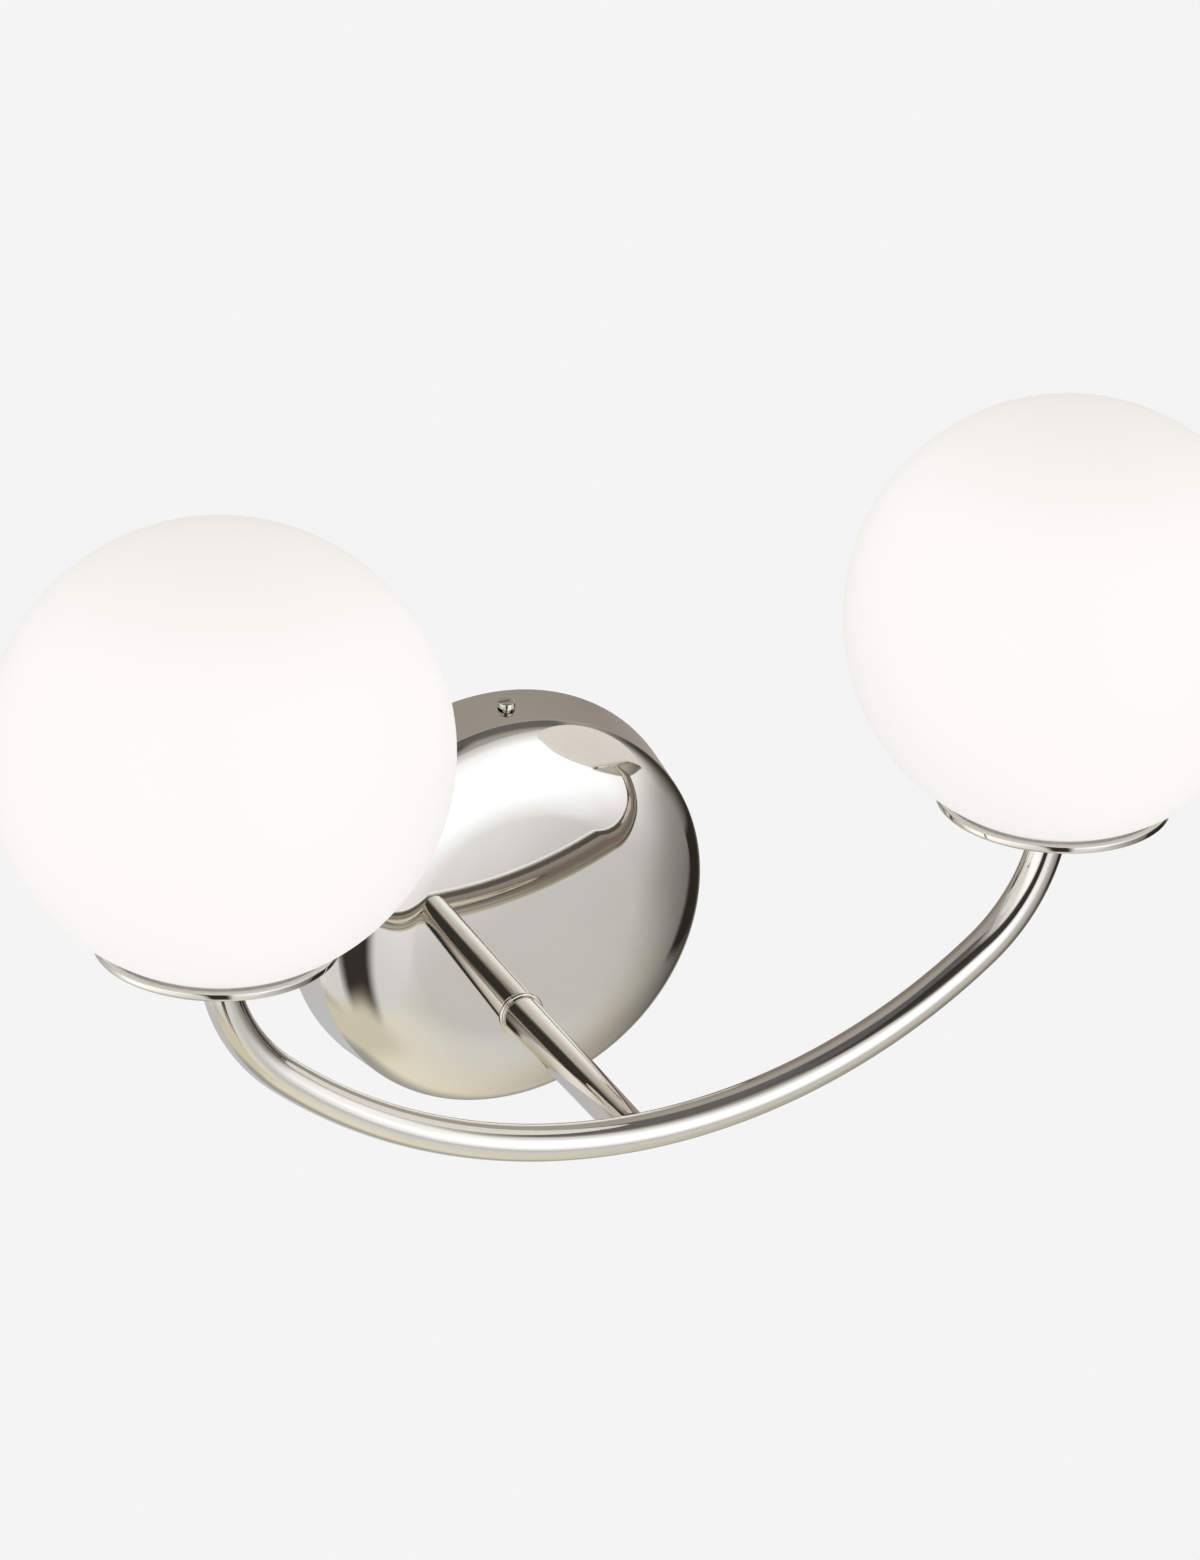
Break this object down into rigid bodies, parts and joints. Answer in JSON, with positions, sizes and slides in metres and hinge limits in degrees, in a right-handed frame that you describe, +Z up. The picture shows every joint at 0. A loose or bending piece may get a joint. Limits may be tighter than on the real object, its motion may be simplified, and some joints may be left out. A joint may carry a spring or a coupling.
{
  "type": "vanity light",
  "caption": "Wall light with a domed canopy, a straight arm and a bowed tube whose upright ends carry opal glass globes in shallow metal cups; globes and bulbs lift off for relamping.",
  "frame": {"origin": "centre of the canopy on the wall plane", "axes": "+X along the wall to the right as seen from the room, +Y into the wall, +Z up"},
  "size_m": [0.4548, 0.1991, 0.2839],
  "materials": {
    "polished_nickel": "polished nickel plate on brass and steel, warm mirror finish",
    "opal_glass": "cased opal glass, smooth and glossy, milky and not see-through",
    "zinc_steel": "zinc plated steel, dull bright",
    "spring_steel": "thin bright spring steel",
    "contact_brass": "plain brass strip",
    "white_ceramic": "glazed white steatite ceramic",
    "clear_silicone": "soft pale silicone",
    "lead_insulation": "heat-proof silicone glass sleeve, off-white",
    "earth_insulation": "green PVC sleeve with tinned ring tags",
    "earth_green": "green passivated steel",
    "cap_plastic": "grey moulded thermoplastic",
    "frosted_glass": "frosted bulb glass",
    "pinch_ceramic": "white moulded bulb foot",
    "pin_wire": "nickel plated wire"
  },
  "bodies": {
    "fixture": {"canopy": "polished_nickel", "mounting_bracket": "zinc_steel", "ground_lead": "earth_insulation", "ground_screw": "earth_green", "arm_collar": "polished_nickel", "arm_tube": "polished_nickel", "arm_saddle_washer": "zinc_steel", "arm_nipple": "zinc_steel", "arm_lock_washer": "zinc_steel", "arm_lock_nut": "zinc_steel", "bow_tube": "polished_nickel", "splice_caps": "cap_plastic", "cup_left": "polished_nickel", "globe_seat_left": "zinc_steel", "globe_gasket_left": "clear_silicone", "globe_spring_left": "spring_steel", "cup_nipple_left": "zinc_steel", "seat_lock_washer_left": "zinc_steel", "seat_lock_nut_left": "zinc_steel", "lampholder_bracket_left": "zinc_steel", "lampholder_body_left": "white_ceramic", "lampholder_screws_left": "zinc_steel", "lampholder_contacts_left": "contact_brass", "lead_wires_left": "lead_insulation", "cup_right": "polished_nickel", "globe_seat_right": "zinc_steel", "globe_gasket_right": "clear_silicone", "globe_spring_right": "spring_steel", "cup_nipple_right": "zinc_steel", "seat_lock_washer_right": "zinc_steel", "seat_lock_nut_right": "zinc_steel", "lampholder_bracket_right": "zinc_steel", "lampholder_body_right": "white_ceramic", "lampholder_screws_right": "zinc_steel", "lampholder_contacts_right": "contact_brass", "lead_wires_right": "lead_insulation"},
    "globe_left": {"globe_left": "opal_glass"},
    "bulb_left": {"bulb_base_left": "pinch_ceramic", "bulb_envelope_left": "frosted_glass", "bulb_pins_left": "pin_wire"},
    "globe_right": {"globe_right": "opal_glass"},
    "bulb_right": {"bulb_base_right": "pinch_ceramic", "bulb_envelope_right": "frosted_glass", "bulb_pins_right": "pin_wire"},
    "canopy_screw_top": {"canopy_screw_top": "polished_nickel"},
    "canopy_screw_bottom": {"canopy_screw_bottom": "polished_nickel"}
  },
  "joints": [
    {"name": "globe_left_lift", "type": "slide", "parent": "fixture", "child": "globe_left", "axis": [0, 0, 1], "range_m": [0, 0.09]},
    {"name": "bulb_left_pull", "type": "slide", "parent": "fixture", "child": "bulb_left", "axis": [0, 0, 1], "range_m": [0, 0.018]},
    {"name": "globe_right_lift", "type": "slide", "parent": "fixture", "child": "globe_right", "axis": [0, 0, 1], "range_m": [0, 0.09]},
    {"name": "bulb_right_pull", "type": "slide", "parent": "fixture", "child": "bulb_right", "axis": [0, 0, 1], "range_m": [0, 0.018]},
    {"name": "canopy_screw_top_turn", "type": "hinge", "parent": "fixture", "child": "canopy_screw_top", "pos_m": [0, -0.0106, 0.07433], "axis": [0, 0, 1], "continuous": true},
    {"name": "canopy_screw_bottom_turn", "type": "hinge", "parent": "fixture", "child": "canopy_screw_bottom", "pos_m": [0, -0.0106, -0.07433], "axis": [0, 0, -1], "continuous": true}
  ]
}
